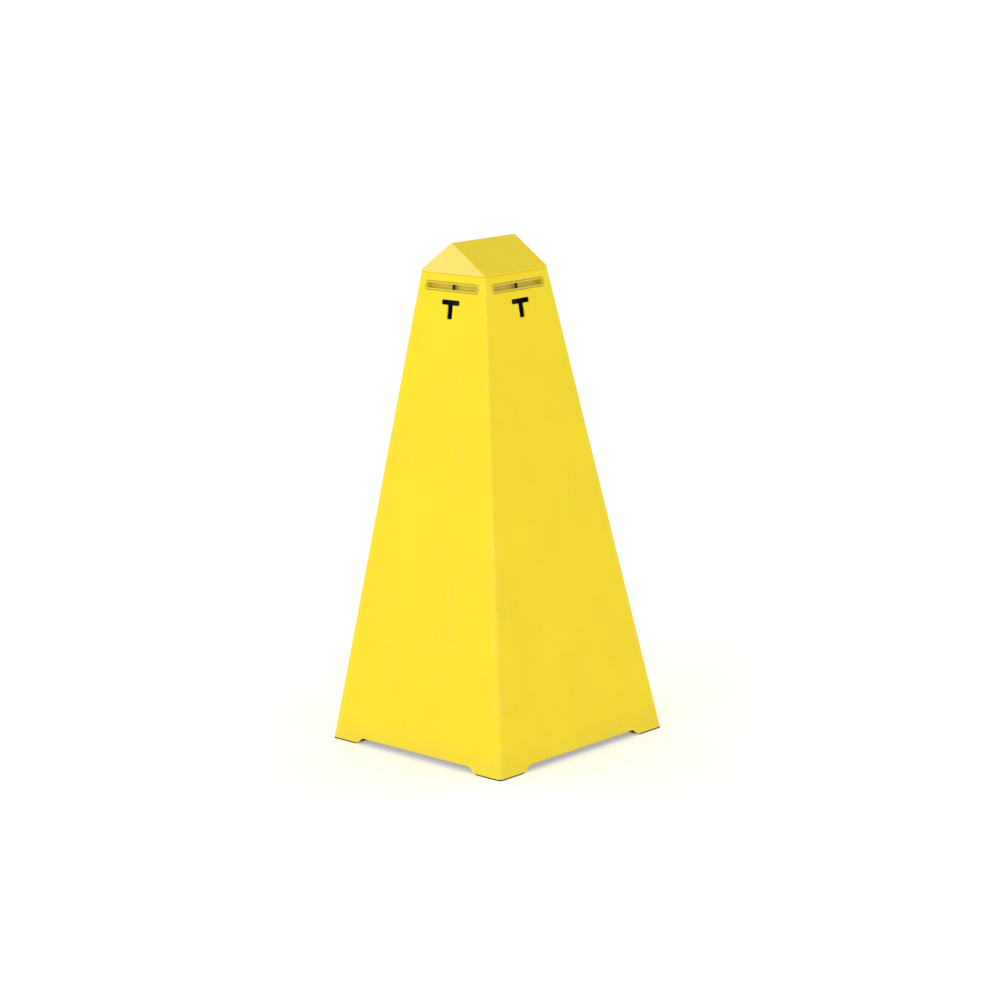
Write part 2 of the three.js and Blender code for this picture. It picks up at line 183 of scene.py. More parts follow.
def oblong(half_x, half_y, radius, middle=0.0, steps=8):
    """A rectangle with round corners, whose middle is at (0, middle)."""
    x, low, high = half_x - radius, middle - half_y + radius, middle + half_y - radius
    points = arc(x, low, radius, -90, 0, steps) + arc(x, high, radius, 0, 90, steps)
    return points + arc(-x, high, radius, 90, 180, steps) + arc(-x, low, radius, 180, 270, steps)


def rounded_square(half, radius, steps=8):
    return oblong(half, half, radius, 0, steps)


def pocket_mouth(grow):
    """The pocket's mouth in the wall's plane, let out by grow."""
    half = RIM_LENGTH / 2 - RIM
    return oblong(half + grow, POCKET_HEIGHT / 2 + grow, POCKET_CORNER_R + grow, -POCKET_DROP)


def wall_aperture(grow):
    return pocket_mouth(RIM + RIM_GAP + grow)


def box_hollow(grow):
    """The hollow of the link box in the wall's plane, let out by grow."""
    height = BOX_MARGIN + T_HEIGHT + BOX_HANG
    middle = BOX_MARGIN - T_DROP - height / 2
    return oblong(T_WIDTH / 2 + BOX_MARGIN + grow, height / 2 + grow, BOX_CORNER_R + grow, middle)


def t_slot(grow):
    """The slot for the chain's link, let out by grow, in the wall's plane."""
    end = T_WIDTH / 2 - T_CORNER_R
    stem = T_STEM / 2 - T_CORNER_R
    top, low, foot = -T_DROP, -T_DROP - T_BAR, -T_DROP - T_HEIGHT
    outer, fillet = T_CORNER_R + grow, T_FILLET - grow
    at = T_STEM / 2 + T_FILLET
    left = arc(-end, top - T_CORNER_R, outer, 90, 180, 6)
    left += arc(-end, low + T_CORNER_R, outer, 180, 270, 6)
    left += arc(-at, low - T_FILLET, fillet, 90, 0, 5)
    left += arc(-stem, foot + T_CORNER_R, outer, 180, 270, 6)
    return left + [(-x, up) for x, up in reversed(left)]


def on_wall(x, up, depth):
    """A point in the front wall's own plane, up its slope from the eave, as a point in the frame."""
    out = -EAVE_HALF + up * math.sin(LEAN) + depth * math.cos(LEAN)
    return (x, out, EAVE_Z + up * math.cos(LEAN) - depth * math.sin(LEAN))


# ---------------------------------------------------------------- surfaces
class Skin:
    """The surface of one piece. Points that fall together are merged when it is finished."""

    def __init__(self):
        self.bm = bmesh.new()
        self.place = Matrix.Identity(4)

    def turn(self, quarters):
        self.place = Matrix.Rotation(quarters * math.pi / 2, 4, "Z")

    def row(self, points):
        return [self.bm.verts.new(self.place @ Vector(point)) for point in points]

    def level(self, points, z):
        return self.row([(x, y, z) for x, y in points])

    def band(self, rows, closed=True):
        """Faces from each row of points to the next."""
        for one, other in zip(rows, rows[1:]):
            count = len(one)
            for i in range(count if closed else count - 1):
                j = (i + 1) % count
                self.bm.faces.new((one[i], one[j], other[j], other[i]))

    def fill(self, *loops):
        """A flat face inside the first loop, with the other loops as holes in it."""
        if len(loops) == 1:
            self.bm.faces.new(loops[0])
            return
        edges = []
        for loop in loops:
            for one, other in zip(loop, loop[1:] + loop[:1]):
                edges.append(self.bm.edges.get((one, other)) or self.bm.edges.new((one, other)))
        bmesh.ops.triangle_fill(self.bm, use_beauty=True, edges=edges)

    def solid(self, rows):
        """A closed body from rows of points that go once round it each."""
        self.band(rows)
        self.fill(rows[0])
        self.fill(rows[-1])

    def turned(self, profile, place, steps=48):
        """A round body from (radius, height) points, about the Z axis of place."""
        kept, self.place = self.place, self.place @ place
        self.solid([self.level(circle(0, 0, radius, steps), z) for radius, z in profile])
        self.place = kept

    def mesh(self, name):
        bmesh.ops.remove_doubles(self.bm, verts=self.bm.verts, dist=0.001 * MM)
        bmesh.ops.recalc_face_normals(self.bm, faces=self.bm.faces)
        made = bpy.data.meshes.new(name)
        self.bm.to_mesh(made)
        self.bm.free()
        return made


def wall_rows(skin, outline, profile):
    """Rows of points along an outline in the front wall, one for each (let out by, depth) of a profile."""
    return [skin.row([on_wall(x, up, depth) for x, up in outline(grow)]) for grow, depth in profile]


def new_object(name, mesh):
    made = bpy.data.objects.new(name, mesh)
    bpy.context.scene.collection.objects.link(made)
    return made


def carve(skin, tool, operation="DIFFERENCE"):
    """The mesh of a skin, cut by or joined with the bodies of another."""
    block = new_object("block", skin.mesh("block"))
    cutter = new_object("cutter", tool.mesh("cutter"))
    modifier = block.modifiers.new("carve", "BOOLEAN")
    modifier.object = cutter
    modifier.operation = operation
    modifier.solver = "EXACT"
    made = bpy.data.meshes.new_from_object(block.evaluated_get(bpy.context.evaluated_depsgraph_get()))
    for spent in (block, cutter):
        bpy.data.objects.remove(spent)
    return made


def piece(name, mesh, materials, body, node):
    """A finished piece: smooth, but for edges over 35 degrees, with its big flats kept flat."""
    made = new_object(name, mesh)
    for material in materials:
        mesh.materials.append(material)
    mesh.shade_smooth()
    mesh.set_sharp_from_angle(angle=math.radians(35))
    flats = made.modifiers.new("flats", "WEIGHTED_NORMAL")
    flats.keep_sharp = True
    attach(made, body)
    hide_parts(node)


# ---------------------------------------------------------------- shell
def foot_edge():
    """The front wall's lower edge, from one corner to the other, as (x, z, lean of its normal)."""
    def curve(t):
        a, b, c, d = (1 - t) ** 3, 3 * t * (1 - t) ** 2, 3 * t * t * (1 - t), t ** 3
        x = FOOT_INSIDE * a + (FOOT_INSIDE - ARCH_RUN / 2) * (b + c) + (FOOT_INSIDE - ARCH_RUN) * d
        return x, SOLE_Z * (a + b) + ARCH_Z * (c + d)

    steps, nearby = 12, 0.01
    right = []
    for i in range(steps + 1):
        t = i / steps
        x0, z0 = curve(max(t - nearby, 0))
        x1, z1 = curve(min(t + nearby, 1))
        right.append((*curve(t), math.atan2(z1 - z0, x0 - x1)))
    left = [(-x, z, -lean) for x, z, lean in right]
    return left + right[::-1]


FOOT_EDGE = foot_edge()


def corner_arc(z, depth, steps=8):
    """The rounded corner from the front wall to the right one, at a height."""
    half = half_width(z, depth)
    radius = half * CORNER_SHARE
    return [(x, y, z) for x, y in arc(half - radius, radius - half, radius, -90, 0, steps)]


def wall_corner(side, z, depth):
    half = half_width(z, depth)
    return (side * half * (1 - CORNER_SHARE), -half, z)


def lower_edge(up, depth):
    """The walls' lower edge raised by up along its own normal, from corner to corner."""
    points = [wall_corner(-1, SOLE_Z + up, depth)]
    for x, z, lean in FOOT_EDGE:
        height = z + up * math.cos(lean)
        points.append((x + up * math.sin(lean), -half_width(height, depth), height))
    return points + corner_arc(SOLE_Z + up, depth)


def upper_edge(down, depth):
    return [wall_corner(-1, EAVE_Z - down, depth)] + corner_arc(EAVE_Z - down, depth)


def lip(soft):
    """The wall's thickness at a softened edge, as (distance from the edge, depth)."""
    return softened([(soft, 0, 0), (0, 0, soft), (0, WALL, soft), (soft, WALL, 0)])


def seat(skin):
    """The web across a foot, with its bolt hole. It runs into both walls."""
    def outline(inside, z):
        half = half_width(z, WALL / 2)
        radius = half * CORNER_SHARE
        near = -FOOT_INSIDE - inside
        points = arc(radius - half, radius - half, radius, 180, 270, 8)
        return [(x, y, z) for x, y in points + [(near, -half), (near, near), (-half, near)]]

    soft = 0.5 * MM
    edge = softened([(soft, ARCH_Z, 0), (0, ARCH_Z, soft), (0, SEAT_Z, soft), (soft, SEAT_Z, 0)])
    rows = [skin.row(outline(inside, z)) for inside, z in edge]
    skin.band(rows)
    hole = []
    for inside, z in edge:
        hole.append(skin.level(circle(-BOLT_AT, -BOLT_AT, BOLT_HOLE / 2 + inside, 24), z))
    skin.band(hole)
    skin.fill(rows[0], hole[0])
    skin.fill(rows[-1], hole[-1])


def shell():
    """Four walls of one moulding, with their slots, apertures and raised edges, and a seat in each foot."""
    skin = Skin()
    flat = len(FOOT_EDGE) + 2  # points of the lower edge that lie on the front wall
    for wall in range(4):
        skin.turn(wall)
        lower = [skin.row(lower_edge(up, depth)) for up, depth in lip(EDGE_SOFT)]
        upper = [skin.row(upper_edge(down, depth)) for down, depth in lip(EDGE_SOFT)]
        skin.band(lower, closed=False)
        skin.band(upper, closed=False)
        holes = []
        for outline in (t_slot, wall_aperture):
            rows = wall_rows(skin, outline, lip(EDGE_SOFT))
            skin.band(rows)
            holes.append(rows)
        for face in (0, -1):  # the outside and the inside of the wall
            low, high = lower[face], upper[face]
            skin.band([low[flat - 1:], high[1:]], closed=False)
            skin.fill(low[:flat] + high[1::-1], *[rows[face] for rows in holes])
    seats = Skin()
    for foot in range(4):
        seats.turn(foot)
        seat(seats)
    return carve(skin, seats, "UNION")


# ---------------------------------------------------------------- pocket inserts and hitch pins
def pocket_insert(wall):
    """A long shallow cup with a raised rim, a flange behind the wall and a hole for the hitch pin."""
    draft = 0.25 * MM  # what the pocket draws in by towards its floor
    floor_edge = 1.8 * MM  # where the round corner has met the floor
    back = POCKET_DEPTH + POCKET_BACK
    front = WALL + TOUCH
    flange = RIM + RIM_GAP + FLANGE
    profile = softened([
        (-floor_edge, POCKET_DEPTH, 0),
        (-draft, POCKET_DEPTH, 1.2 * MM),
        (0, 0, 0.7 * MM),  # mouth
        (RIM, 0, 0.9 * MM),
        (RIM, front, 0.3 * MM),  # flange
        (flange, front, 0.5 * MM),
        (flange, front + FLANGE_THICK, 0.8 * MM),
        (RIM, front + FLANGE_THICK, 0.8 * MM),
        (RIM, back, 1.2 * MM),  # back
        (0, back, 0),
    ])
    skin = Skin()
    skin.turn(wall)
    skin.solid(wall_rows(skin, pocket_mouth, profile))
    hole = Skin()
    hole.turn(wall)
    low, high = pin_ends()
    clear = PIN_D / 2 + TOUCH
    hole.turned([(clear, low - TOUCH), (clear, high + FLANGE)], pin_axis())
    return carve(skin, hole)


def link_box(wall):
    """The black box behind the slot, open to the wall, with a welding flange round its mouth."""
    draft = 0.4 * MM  # what the box draws in by towards its back
    back_edge = 3.4 * MM  # where the round corners have met the back
    front = WALL + TOUCH
    back = front + BOX_DEPTH
    flange = BOX_WALL + BOX_FLANGE
    profile = softened([
        (-back_edge, back, 0),
        (-draft, back, 2 * MM),
        (0, front, 0.6 * MM),  # mouth
        (flange, front, 0.5 * MM),
        (flange, front + BOX_WALL, 0.8 * MM),
        (BOX_WALL, front + BOX_WALL, 0.8 * MM),
        (BOX_WALL - draft, back + BOX_WALL, 2.5 * MM),
        (-back_edge, back + BOX_WALL, 0),
    ])
    skin = Skin()
    skin.turn(wall)
    skin.solid(wall_rows(skin, box_hollow, profile))
    return skin.mesh("link_box")


def pin_ends():
    """The hitch pin's ends, up the wall's slope from the middle of the pocket."""
    return -POCKET_HEIGHT / 2 - PIN_BITE + TOUCH, APERTURE_HEIGHT / 2 + FLANGE - TOUCH


def pin_axis():
    """Where the hitch pin stands in the front wall, with Z along the pin."""
    return Matrix.Translation(on_wall(0, -POCKET_DROP, PIN_DEPTH)) @ Matrix.Rotation(-LEAN, 4, "X")


def hitch_pin(wall):
    """A plain round pin, chamfered at both ends."""
    low, high = pin_ends()
    radius = PIN_D / 2
    chamfer = 0.6 * MM
    skin = Skin()
    skin.turn(wall)
    profile = [
        (radius - chamfer, low),
        (radius, low + chamfer),
        (radius, high - chamfer),
        (radius - chamfer, high),
    ]
    skin.turned(profile, pin_axis())
    return skin.mesh("hitch_pin")


# ---------------------------------------------------------------- roof cap
def ridge(drop, steps=6):
    """The rounded ridge from front to rear, as (y, z)."""
    middle = RIDGE_Z - drop - RIDGE_R
    turns = [ROOF_SLOPE * (2 * i / steps - 1) for i in range(steps + 1)]
    return [(RIDGE_R * math.sin(a), middle + RIDGE_R * math.cos(a)) for a in turns]


def roof_height(y, drop):
    """Height of the slopes, which leave the ridge where its rounding ends."""
    far, high = ridge(drop)[-1]
    return high - (abs(y) - far) * math.tan(ROOF_SLOPE)


def gabled(skin, low_row, half, radius, drop, steps, soft=0.0):
    """Walls from a rounded square row up to a gable roof, and the roof, with edges rounded by soft."""
    outline = rounded_square(half, radius, steps)
    top = skin.row([(x, y, roof_height(y, drop)) for x, y in outline])
    left, right = [skin.row([(side * half, y, z) for y, z in ridge(drop)]) for side in (-1, 1)]
    corner = steps + 1  # points in each corner
    walls = []
    for i in range(4 * corner):
        j = (i + 1) % (4 * corner)
        gable = {steps: right[::-1], 3 * corner - 1: left}.get(i, [])
        walls.append(skin.bm.faces.new([low_row[i], low_row[j], top[j], *gable, top[i]]))
    skin.bm.faces.new(left[:1] + top[3 * corner:] + top[:corner] + right[:1])
    skin.bm.faces.new(right[-1:] + top[corner:3 * corner] + left[-1:])
    skin.band([right, left], closed=False)
    if soft:
        low = set(low_row)
        edges = [edge for wall in walls for edge in wall.edges if not low & set(edge.verts)]
        once = list(dict.fromkeys(edges))
        bmesh.ops.bevel(skin.bm, geom=once, offset=soft, segments=3, profile=0.5, affect="EDGES")


def roof_cap():
    """The gable roof with its eave band and skirt, a leg in each corner, and its gables as material 1, whose
    paler yellow is a painted highlight.
    """
    steps = 5  # in each corner
    skirt = MOUTH - SKIRT_GAP
    hollow = skirt - SKIRT_WALL
    roof_r = EAVE_HALF * CORNER_SHARE
    skirt_r = MOUTH * CORNER_SHARE - SKIRT_GAP
    casing = Skin()
    profile = softened([
        (EAVE_HALF, CAP_LOW + EAVE_BAND, 0),
        (EAVE_HALF, CAP_LOW, 0.6 * MM),
        (skirt, CAP_LOW, 0.3 * MM),
        (skirt, CAP_LOW - SKIRT_DEPTH, 0.8 * MM),
        (hollow, CAP_LOW - SKIRT_DEPTH, 0.8 * MM),
        (hollow, CAP_LOW, 0),
    ])
    rows = []
    for half, z in profile[1:]:
        share = (half - hollow) / (EAVE_HALF - hollow)
        radius = skirt_r / 2 + (roof_r - skirt_r / 2) * share
        rows.append(casing.level(rounded_square(half, radius, steps), z))
    casing.band(rows)
    gabled(casing, rows[0], EAVE_HALF, roof_r, 0, steps, soft=0.6 * MM)
    gabled(casing, rows[-1], hollow, skirt_r / 2, CAP_WALL / math.cos(ROOF_SLOPE), steps)
    legs = Skin()
    for corner in range(4):
        legs.turn(corner)
        guide_leg(legs)
    made = carve(casing, legs, "UNION")
    # the gables' faces take material 1, whose paler yellow is a painted highlight
    smallest_gable = 100 * MM * MM
    for face in made.polygons:
        faces_along_x = abs(face.normal.x) > 0.999
        if faces_along_x and abs(face.center.x) > EAVE_HALF - MM and face.area > smallest_gable:
            face.material_index = 1
    return made


def guide_leg(skin):
    """The L-shaped leg in the cap's front left corner, drawn in at its foot."""
    outside = MOUTH - FLANGE_THICK
    inside = RIM_LENGTH / 2 + LEG_CLEARANCE
    radius = MOUTH * CORNER_SHARE - SKIRT_GAP
    chamfer = 1 * MM  # inside corner of the L

    def outline(shrink):
        out, arm = outside - shrink, inside + shrink
        web = outside - LEG_WALL + shrink
        points = arc(radius - out, radius - out, radius, 180, 270, 6)
        points += [(-arm, -out), (-arm, -web), (chamfer - web, -web)]
        return points + [(-web, chamfer - web), (-web, -arm), (-out, -arm)]

    lead_in = [(0.9 * MM, 0), (0.5 * MM, 0.4 * MM), (0, 3 * MM)]  # (drawn in by, height above the leg's foot)
    rows = [skin.level(outline(shrink), cap_low.z + up) for shrink, up in lead_in]
    top = []
    for x, y in outline(0):
        from_ridge = (skin.place @ Vector((x, y, 0))).y
        top.append((x, y, roof_height(from_ridge, CAP_WALL / 2)))
    skin.solid(rows + [skin.row(top)])


# ---------------------------------------------------------------- feet, ballast and fasteners
def foot_pad(foot):
    """A rubber block in the foot with a sole under the walls' edges and a bar tread."""
    skin = Skin()
    skin.turn(foot)
    sole_top = SOLE_Z - TOUCH
    soft = 0.5 * MM
    small = 2 * MM  # radius of the pad's other three corners
    inset = 2 * MM  # the flats' last row of points, in from their edges

    def outline(half, near, z):
        radius = half * CORNER_SHARE
        points = arc(radius - half, radius - half, radius, 180, 270, 8)
        points += arc(-near - small, small - half, small, -90, 0, 3)
        points += arc(-near - small, -near - small, small, 0, 90, 3)
        points += arc(small - half, -near - small, small, 90, 180, 3)
        return [(x, y, z) for x, y in points]

    block = half_width(sole_top, WALL + TOUCH)
    block_top = half_width(pad_high.z, WALL + TOUCH)
    side = softened([
        (half_width(0) - inset, 0, 0),
        (half_width(0), 0, soft),
        (half_width(sole_top), sole_top, soft),
        (block, sole_top, 0.2 * MM),
        (block_top, pad_high.z, 0.8 * MM),
        (block_top - inset, pad_high.z, 0),
    ], steps=3)
    rows = []
    for half, z in side:
        ends = max(soft - z, z - pad_high.z + soft, 0)
        rows.append(skin.row(outline(half, FOOT_INSIDE + ends, z)))
    skin.solid(rows)

    tool = Skin()
    tool.turn(foot)
    head = (bolt_high.x - bolt_low.x) / 2 + HEAD_CLEARANCE
    recess = bolt_low.z + HEAD_HEIGHT + TOUCH
    hole = BOLT_HOLE / 2
    past = 1 * MM  # how far the cutters run out of the rubber
    bored = [(head + past, -0.5 * MM), (head, 0.5 * MM), (head, recess), (hole, recess)]
    tool.turned(bored + [(hole, pad_high.z + past)], AT_BOLT)
    tread_grooves(tool, head, past)
    return carve(skin, tool)


def tread_grooves(tool, head, past):
    """Cutters for the sole's grooves, which run along the foot's diagonal on both sides of the bolt."""
    groove, groove_depth, pitch = 1.6 * MM, 0.9 * MM, 8 * MM
    overrun = 4 * MM
    diagonal = (half_width(0) - FOOT_INSIDE) * math.sqrt(2)
    middle = -(half_width(0) + FOOT_INSIDE) / 2
    along = Matrix.Translation((middle, middle, 0)) @ Matrix.Rotation(math.pi / 4, 4, "Z")
    kept, tool.place = tool.place, tool.place @ along
    count = round(diagonal / pitch)
    for i in range(-count // 2, count // 2 + 1):
        y = i * pitch
        if abs(y) < head + groove + past:
            continue
        length = max(diagonal / 2 - abs(y) + overrun, overrun)
        section = [(y - groove, -past), (y + groove, -past)]
        section += [(y + groove / 2, groove_depth), (y - groove / 2, groove_depth)]
        tool.solid([tool.row([(x, a, z) for a, z in section]) for x in (-length, length)])
    tool.place = kept


def ballast_ring():
    """A square ring of pressed crumb rubber, sloped outside to lie along the walls."""
    soft = 2.5 * MM
    outer_low = half_width(ring_low.z, WALL + RING_GAP)
    outer_high = half_width(ring_high.z, WALL + RING_GAP)
    inner = outer_low - RING_WIDTH
    section = softened([
        (outer_low, ring_low.z, soft),
        (outer_high, ring_high.z, soft),
        (inner, ring_high.z, soft),
        (inner, ring_low.z, soft),
    ], closed=True)
    skin = Skin()
    rows = []
    for half, z in section:
        radius = half * CORNER_SHARE if half > inner + RING_WIDTH / 2 else RING_CORNER_R
        rows.append(skin.level(rounded_square(half, radius), z))
    skin.band(rows + rows[:1])
    holes = Skin()
    for foot in range(4):
        holes.turn(foot)
        ends = [(BOLT_HOLE / 2, ring_low.z - MM), (BOLT_HOLE / 2, ring_high.z + MM)]
        holes.turned(ends, AT_BOLT, 24)
    return carve(skin, holes)


def in_foot(foot):
    """A new surface about the bolt's own axis in a foot."""
    skin = Skin()
    skin.turn(foot)
    skin.place = Matrix.Translation((skin.place @ AT_BOLT).translation)
    return skin


def hexagon(across_flats):
    return arc(0, 0, across_flats / math.sqrt(3), 30, 330, 5)


def foot_bolt(foot):
    """A domed M6 bolt with a hexagon socket, threaded where the nut is."""
    head = (bolt_high.x - bolt_low.x) / 2
    crown, shoulder = bolt_low.z, bolt_low.z + HEAD_HEIGHT
    shank = BOLT_D / 2
    flat = 3.4 * MM  # radius of the crown's flat
    rim = 0.3 * MM  # upright edge of the head
    edge = 0.1 * MM  # broken edge under the head
    profile = []
    for i in range(9):
        a = math.radians(90 * i / 8)
        rise = (HEAD_HEIGHT - rim) * math.cos(a)
        profile.append((flat + (head - flat) * math.sin(a), shoulder - rim - rise))
    fillet = 0.2 * MM
    profile += [(head, shoulder - edge), (head - edge, shoulder)]
    profile += [(shank + fillet, shoulder), (shank, shoulder + fillet)]
    pitch, root, lead = 1 * MM, 0.55 * MM, 0.4 * MM
    thread = washer_low.z - 3 * pitch
    while thread + pitch < bolt_high.z - lead:
        profile += [(shank, thread), (shank - root, thread + pitch * 0.45)]
        profile += [(shank - root, thread + pitch * 0.55), (shank, thread + pitch * 0.95)]
        thread += pitch
    profile.append((shank - root, bolt_high.z))
    skin = in_foot(foot)
    skin.turned(profile, Matrix.Identity(4))
    socket = in_foot(foot)
    key, deep, past = 4 * MM, 2 * MM, 1 * MM
    socket.solid([socket.level(hexagon(key), z) for z in (crown - past, crown + deep)])
    return carve(skin, socket)


def foot_washer(foot):
    """A punched washer, its edges tumbled round."""
    outer = (washer_high.x - washer_low.x) / 2
    soft = 0.3 * MM
    skin = in_foot(foot)
    section = softened([
        (outer, washer_low.z, soft),
        (outer, washer_high.z, soft),
        (BOLT_HOLE / 2, washer_high.z, soft),
        (BOLT_HOLE / 2, washer_low.z, soft),
    ], closed=True)
    rows = [skin.level(circle(0, 0, radius), z) for radius, z in section]
    skin.band(rows + rows[:1])
    return skin.mesh("foot_washer")


def foot_nut(foot):
    """A hexagon nut, its corners turned off at 30 degrees, with a countersunk hole."""
    flats = nut_high.x - nut_low.x
    corner = flats / math.sqrt(3)
    low, high = nut_low.z, nut_high.z
    past = 0.1 * MM  # how far the cutters run out of the nut
    skin = in_foot(foot)
    skin.solid([skin.level(hexagon(flats), z) for z in (low, high)])
    drop = (corner - flats / 2) * math.tan(math.radians(30)) + past
    face, wide = flats / 2 - past, corner + past
    turning = in_foot(foot)
    turning.turned([(face, low), (wide, low + drop), (wide, high - drop), (face, high)], Matrix.Identity(4))
    blank = Skin()
    blank.bm.from_mesh(carve(skin, turning, "INTERSECT"))
    sink = 0.5 * MM  # depth and breadth of the countersink
    mouth, hole = BOLT_D / 2 + sink, BOLT_HOLE / 2
    bore = in_foot(foot)
    profile = [(mouth, low - past), (hole, low + sink), (hole, high - sink), (mouth, high + past)]
    bore.turned(profile, Matrix.Identity(4))
    return carve(blank, bore)


# ---------------------------------------------------------------- finishes
def linear(code):
    """A colour for a shader, from its sRGB hex code."""
    channels = [int(code[i:i + 2], 16) / 255 for i in (1, 3, 5)]
    return [c / 12.92 if c <= 0.04045 else ((c + 0.055) / 1.055) ** 2.4 for c in channels] + [1.0]


def feed(target, inputs):
    """Sets a node's inputs, each to a value or to a link from another node's output."""
    for name, value in inputs.items():
        if isinstance(value, bpy.types.NodeSocket):
            target.id_data.links.new(value, target.inputs[name])
        else:
            target.inputs[name].default_value = value


def node(tree, kind, inputs=None, **settings):
    """Adds a node with its settings and inputs."""
    made = tree.nodes.new(kind)
    for name, value in settings.items():
        setattr(made, name, value)
    feed(made, inputs or {})
    return made


# Inputs that have the same name twice on their node go by number.
FROM_LOW, FROM_HIGH, TO_LOW, TO_HIGH = 1, 2, 3, 4  # Map Range
SHARE, FIRST, SECOND, MIXED = 0, 6, 7, 2  # Mix of two colours, and its output


def new_material(name):
    """A new material, its tree and shader, and the place of each point on the piece."""
    material = bpy.data.materials.new(name)
    material.use_nodes = True
    tree = material.node_tree
    place = node(tree, "ShaderNodeTexCoord").outputs["Object"]
    return material, tree, tree.nodes["Principled BSDF"], place


def every(size):
    """The noise scale whose features are about this size apart."""
    return 1 / size


def rotomoulded_polyethylene(name, colour, deeper, satin, grain, grain_depth):
    """Polyethylene moulded in a blasted tool: a soft satin with an even grain, and a slow waviness where the
    thick wall shrank. The pigment is very slightly clouded. Stacking leaves faint pale rubs down the walls
    and along the corners, and the floor leaves a little dust. Such a grain is a few tenths of a millimetre
    wide, too fine to show, so it is drawn at 1.4 to 2 mm."""
    material, tree, shader, place = new_material(name)
    slow = node(tree, "ShaderNodeTexNoise", {"Vector": place, "Scale": every(90 * MM), "Detail": 2})
    mottle = node(tree, "ShaderNodeTexNoise", {
        "Vector": place, "Scale": every(18 * MM), "Detail": 5, "Roughness": 0.6})
    skin = node(tree, "ShaderNodeTexNoise", {
        "Vector": place, "Scale": every(grain), "Detail": 3, "Roughness": 0.6})
    speckle = node(tree, "ShaderNodeMapRange", {
        "Value": skin.outputs["Fac"], FROM_LOW: 0.3, FROM_HIGH: 0.7, TO_LOW: 0, TO_HIGH: 0.3})
    cloud = node(tree, "ShaderNodeMapRange", {
        "Value": slow.outputs["Fac"], FROM_LOW: 0.3, FROM_HIGH: 0.7, TO_LOW: 0, TO_HIGH: 0.4})
    depth = node(tree, "ShaderNodeMath", {
        0: cloud.outputs[0], 1: speckle.outputs[0]}, operation="ADD", use_clamp=True)
    tint = node(tree, "ShaderNodeMix", {
        SHARE: depth.outputs[0], FIRST: linear(colour), SECOND: linear(deeper)}, data_type="RGBA")

    # rubs down the walls: about 5 mm wide and 200 mm long, in patches
    drawn = node(tree, "ShaderNodeMapping", {"Vector": place, "Scale": (1, 1, 5 / 200)})
    lines = node(tree, "ShaderNodeTexNoise", {
        "Vector": drawn.outputs[0], "Scale": every(5 * MM), "Detail": 3})
    streak = node(tree, "ShaderNodeMapRange", {
        "Value": lines.outputs["Fac"], FROM_LOW: 0.56, FROM_HIGH: 0.72, TO_LOW: 0, TO_HIGH: 0.5})
    patch = node(tree, "ShaderNodeMapRange", {
        "Value": slow.outputs["Fac"], FROM_LOW: 0.45, FROM_HIGH: 0.65})
    rub = node(tree, "ShaderNodeMath", {
        0: streak.outputs[0], 1: patch.outputs[0]}, operation="MULTIPLY")

    # corners: where |x| + |y| comes near twice the half width at that height
    axes = node(tree, "ShaderNodeSeparateXYZ", {"Vector": place})
    x = node(tree, "ShaderNodeMath", {0: axes.outputs["X"]}, operation="ABSOLUTE")
    y = node(tree, "ShaderNodeMath", {0: axes.outputs["Y"]}, operation="ABSOLUTE")
    both = node(tree, "ShaderNodeMath", {0: x.outputs[0], 1: y.outputs[0]}, operation="ADD")
    width = node(tree, "ShaderNodeMath", {
        0: axes.outputs["Z"], 1: -2 * TAPER, 2: 2 * half_width(0)}, operation="MULTIPLY_ADD")
    nearness = node(tree, "ShaderNodeMath", {
        0: both.outputs[0], 1: width.outputs[0]}, operation="DIVIDE")
    edge = node(tree, "ShaderNodeMapRange", {
        "Value": nearness.outputs[0], FROM_LOW: 0.955, FROM_HIGH: 0.985})
    chafe = node(tree, "ShaderNodeMapRange", {
        "Value": mottle.outputs["Fac"], FROM_LOW: 0.4, FROM_HIGH: 0.7, TO_LOW: 0, TO_HIGH: 0.6})
    corner = node(tree, "ShaderNodeMath", {
        0: edge.outputs[0], 1: chafe.outputs[0]}, operation="MULTIPLY")
    wear = node(tree, "ShaderNodeMath", {
        0: rub.outputs[0], 1: corner.outputs[0]}, operation="MAXIMUM")
    rubbed = node(tree, "ShaderNodeMix", {
        SHARE: wear.outputs[0], FIRST: tint.outputs[MIXED], SECOND: linear("#f8e25a")}, data_type="RGBA")

    # dust, up to 60 mm above the floor
    low = node(tree, "ShaderNodeMapRange", {
        "Value": axes.outputs["Z"], FROM_LOW: 0, FROM_HIGH: 60 * MM, TO_LOW: 0.35, TO_HIGH: 0})
    dust = node(tree, "ShaderNodeMath", {
        0: low.outputs[0], 1: mottle.outputs["Fac"]}, operation="MULTIPLY")
    dusty = node(tree, "ShaderNodeMix", {
        SHARE: dust.outputs[0], FIRST: rubbed.outputs[MIXED], SECOND: linear("#d2ba5e")}, data_type="RGBA")

    rough = node(tree, "ShaderNodeMapRange", {
        "Value": mottle.outputs["Fac"], TO_LOW: satin - 0.08, TO_HIGH: satin + 0.08})
    rougher = node(tree, "ShaderNodeMath", {
        0: wear.outputs[0], 1: 0.2, 2: rough.outputs[0]}, operation="MULTIPLY_ADD")
    waves = node(tree, "ShaderNodeBump", {
        "Height": slow.outputs["Fac"], "Strength": 0.5, "Distance": 2 * MM})
    bump = node(tree, "ShaderNodeBump", {
        "Height": skin.outputs["Fac"], "Strength": 0.8, "Distance": grain_depth, "Normal": waves.outputs[0]})
    feed(shader, {"Base Color": dusty.outputs[MIXED], "Roughness": rougher.outputs[0]})
    feed(shader, {"Normal": bump.outputs[0], "IOR": 1.51, "Specular IOR Level": 0.3})
    return material


